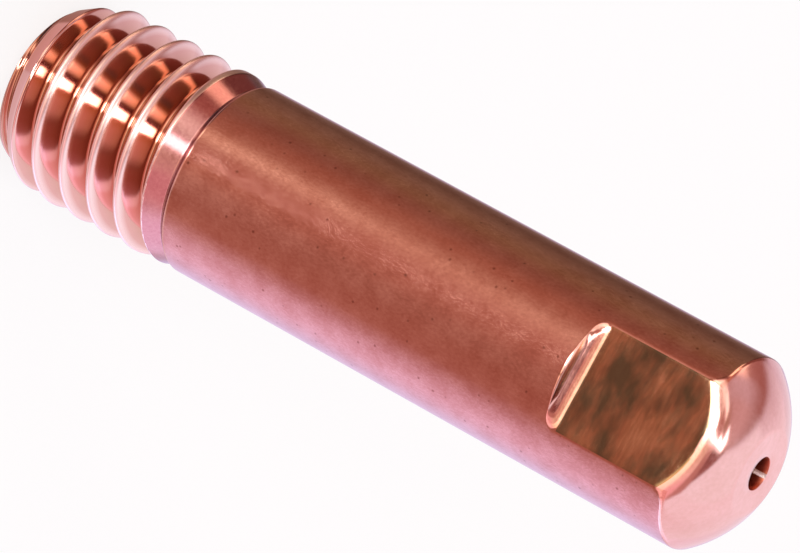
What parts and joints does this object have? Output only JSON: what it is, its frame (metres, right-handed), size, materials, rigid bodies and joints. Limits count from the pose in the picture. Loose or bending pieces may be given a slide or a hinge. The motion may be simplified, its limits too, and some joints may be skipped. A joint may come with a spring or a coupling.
{
  "type": "welding contact tip",
  "caption": "Small turned copper contact tip with a metric threaded end, a plain round shank, spanner flats and a domed front with a central wire bore.",
  "frame": {"origin": "centre of the rear face, on the wire's axis, where the part stands", "axes": "+Z along the wire's axis from the threaded end to the domed front; the spanner flats face -Y and +Y"},
  "size_m": [0.006, 0.006, 0.025],
  "materials": {
    "copper": "turned and lightly tarnished copper"
  },
  "bodies": {
    "root": {"contact_tip": "copper"}
  },
  "joints": []
}
